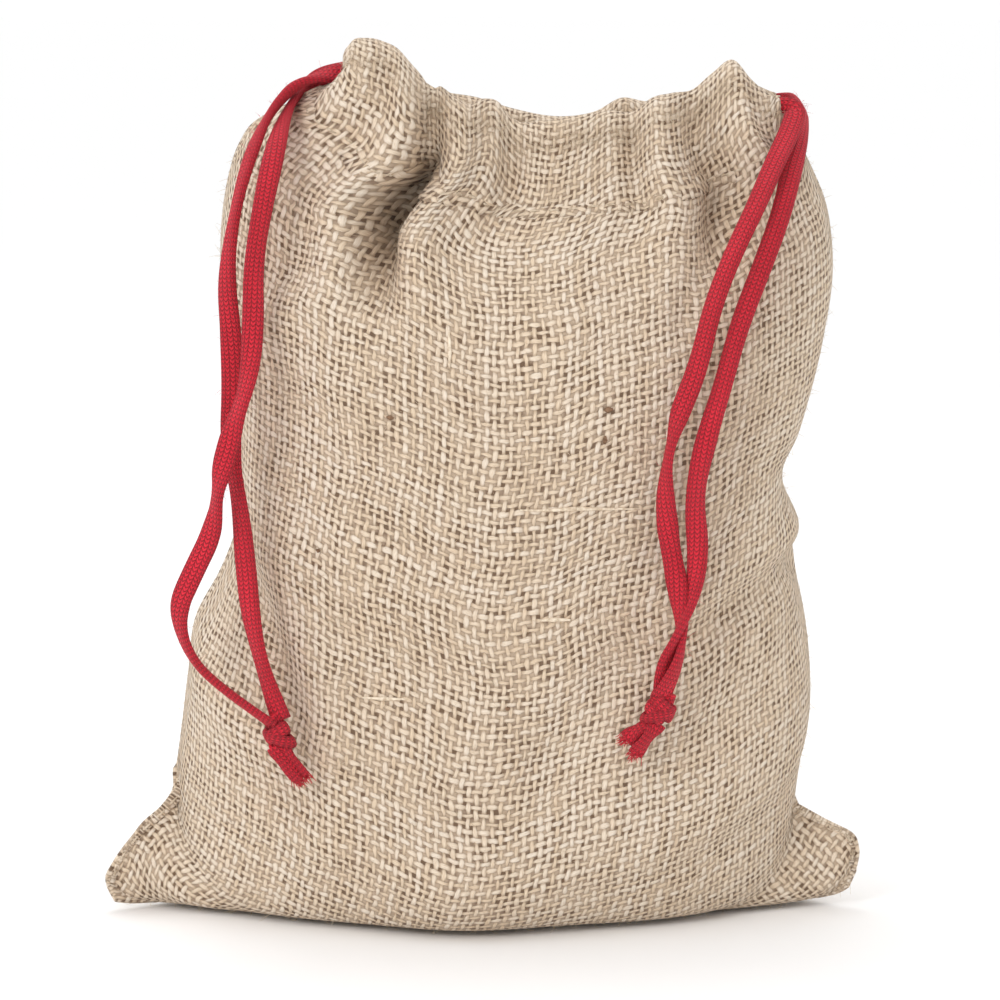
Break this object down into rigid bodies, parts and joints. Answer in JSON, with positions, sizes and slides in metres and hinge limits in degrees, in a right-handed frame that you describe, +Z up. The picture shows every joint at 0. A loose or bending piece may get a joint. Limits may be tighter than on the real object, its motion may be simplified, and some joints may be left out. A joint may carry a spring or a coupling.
{
  "type": "drawstring gift pouch",
  "caption": "Standing drawstring gift pouch of plain-woven jute with a hemmed casing, gathered mouth, outstanding bottom corners and a red cord drawstring knotted at each side.",
  "frame": {"origin": "middle of the footprint, on the surface that the pouch stands on", "axes": "+X to the right seen from the front, +Y to the back, +Z up"},
  "size_m": [0.202, 0.0992, 0.2321],
  "materials": {
    "jute_cloth": "natural open plain weave, matt",
    "red_cord": "flat knitted cotton, matt",
    "sewing_thread": "spun thread, matt"
  },
  "bodies": {
    "pouch": {"front_panel": "jute_cloth", "back_panel": "jute_cloth", "left_side_seam": "jute_cloth", "right_side_seam": "jute_cloth", "bottom_seam": "jute_cloth", "front_casing": "jute_cloth", "back_casing": "jute_cloth", "front_casing_stitching": "sewing_thread", "back_casing_stitching": "sewing_thread", "bottom_seam_stitching": "sewing_thread", "left_seam_stitching": "sewing_thread", "right_seam_stitching": "sewing_thread", "left_cord_loop": "red_cord", "right_cord_loop": "red_cord"},
    "left_drawstring": {"left_cord_front_run": "red_cord", "left_cord_back_run": "red_cord", "left_cord_front_strand": "red_cord", "left_cord_back_strand": "red_cord", "left_knot": "red_cord", "left_tails": "red_cord"},
    "right_drawstring": {"right_cord_front_run": "red_cord", "right_cord_back_run": "red_cord", "right_cord_front_strand": "red_cord", "right_cord_back_strand": "red_cord", "right_knot": "red_cord", "right_tails": "red_cord"}
  },
  "joints": [
    {"name": "left_pull", "type": "slide", "parent": "pouch", "child": "left_drawstring", "axis": [-0.9523, 0, 0.3052], "range_m": [0, 0.035]},
    {"name": "right_pull", "type": "slide", "parent": "pouch", "child": "right_drawstring", "axis": [0.9648, 0, 0.2629], "range_m": [0, 0.035]}
  ]
}
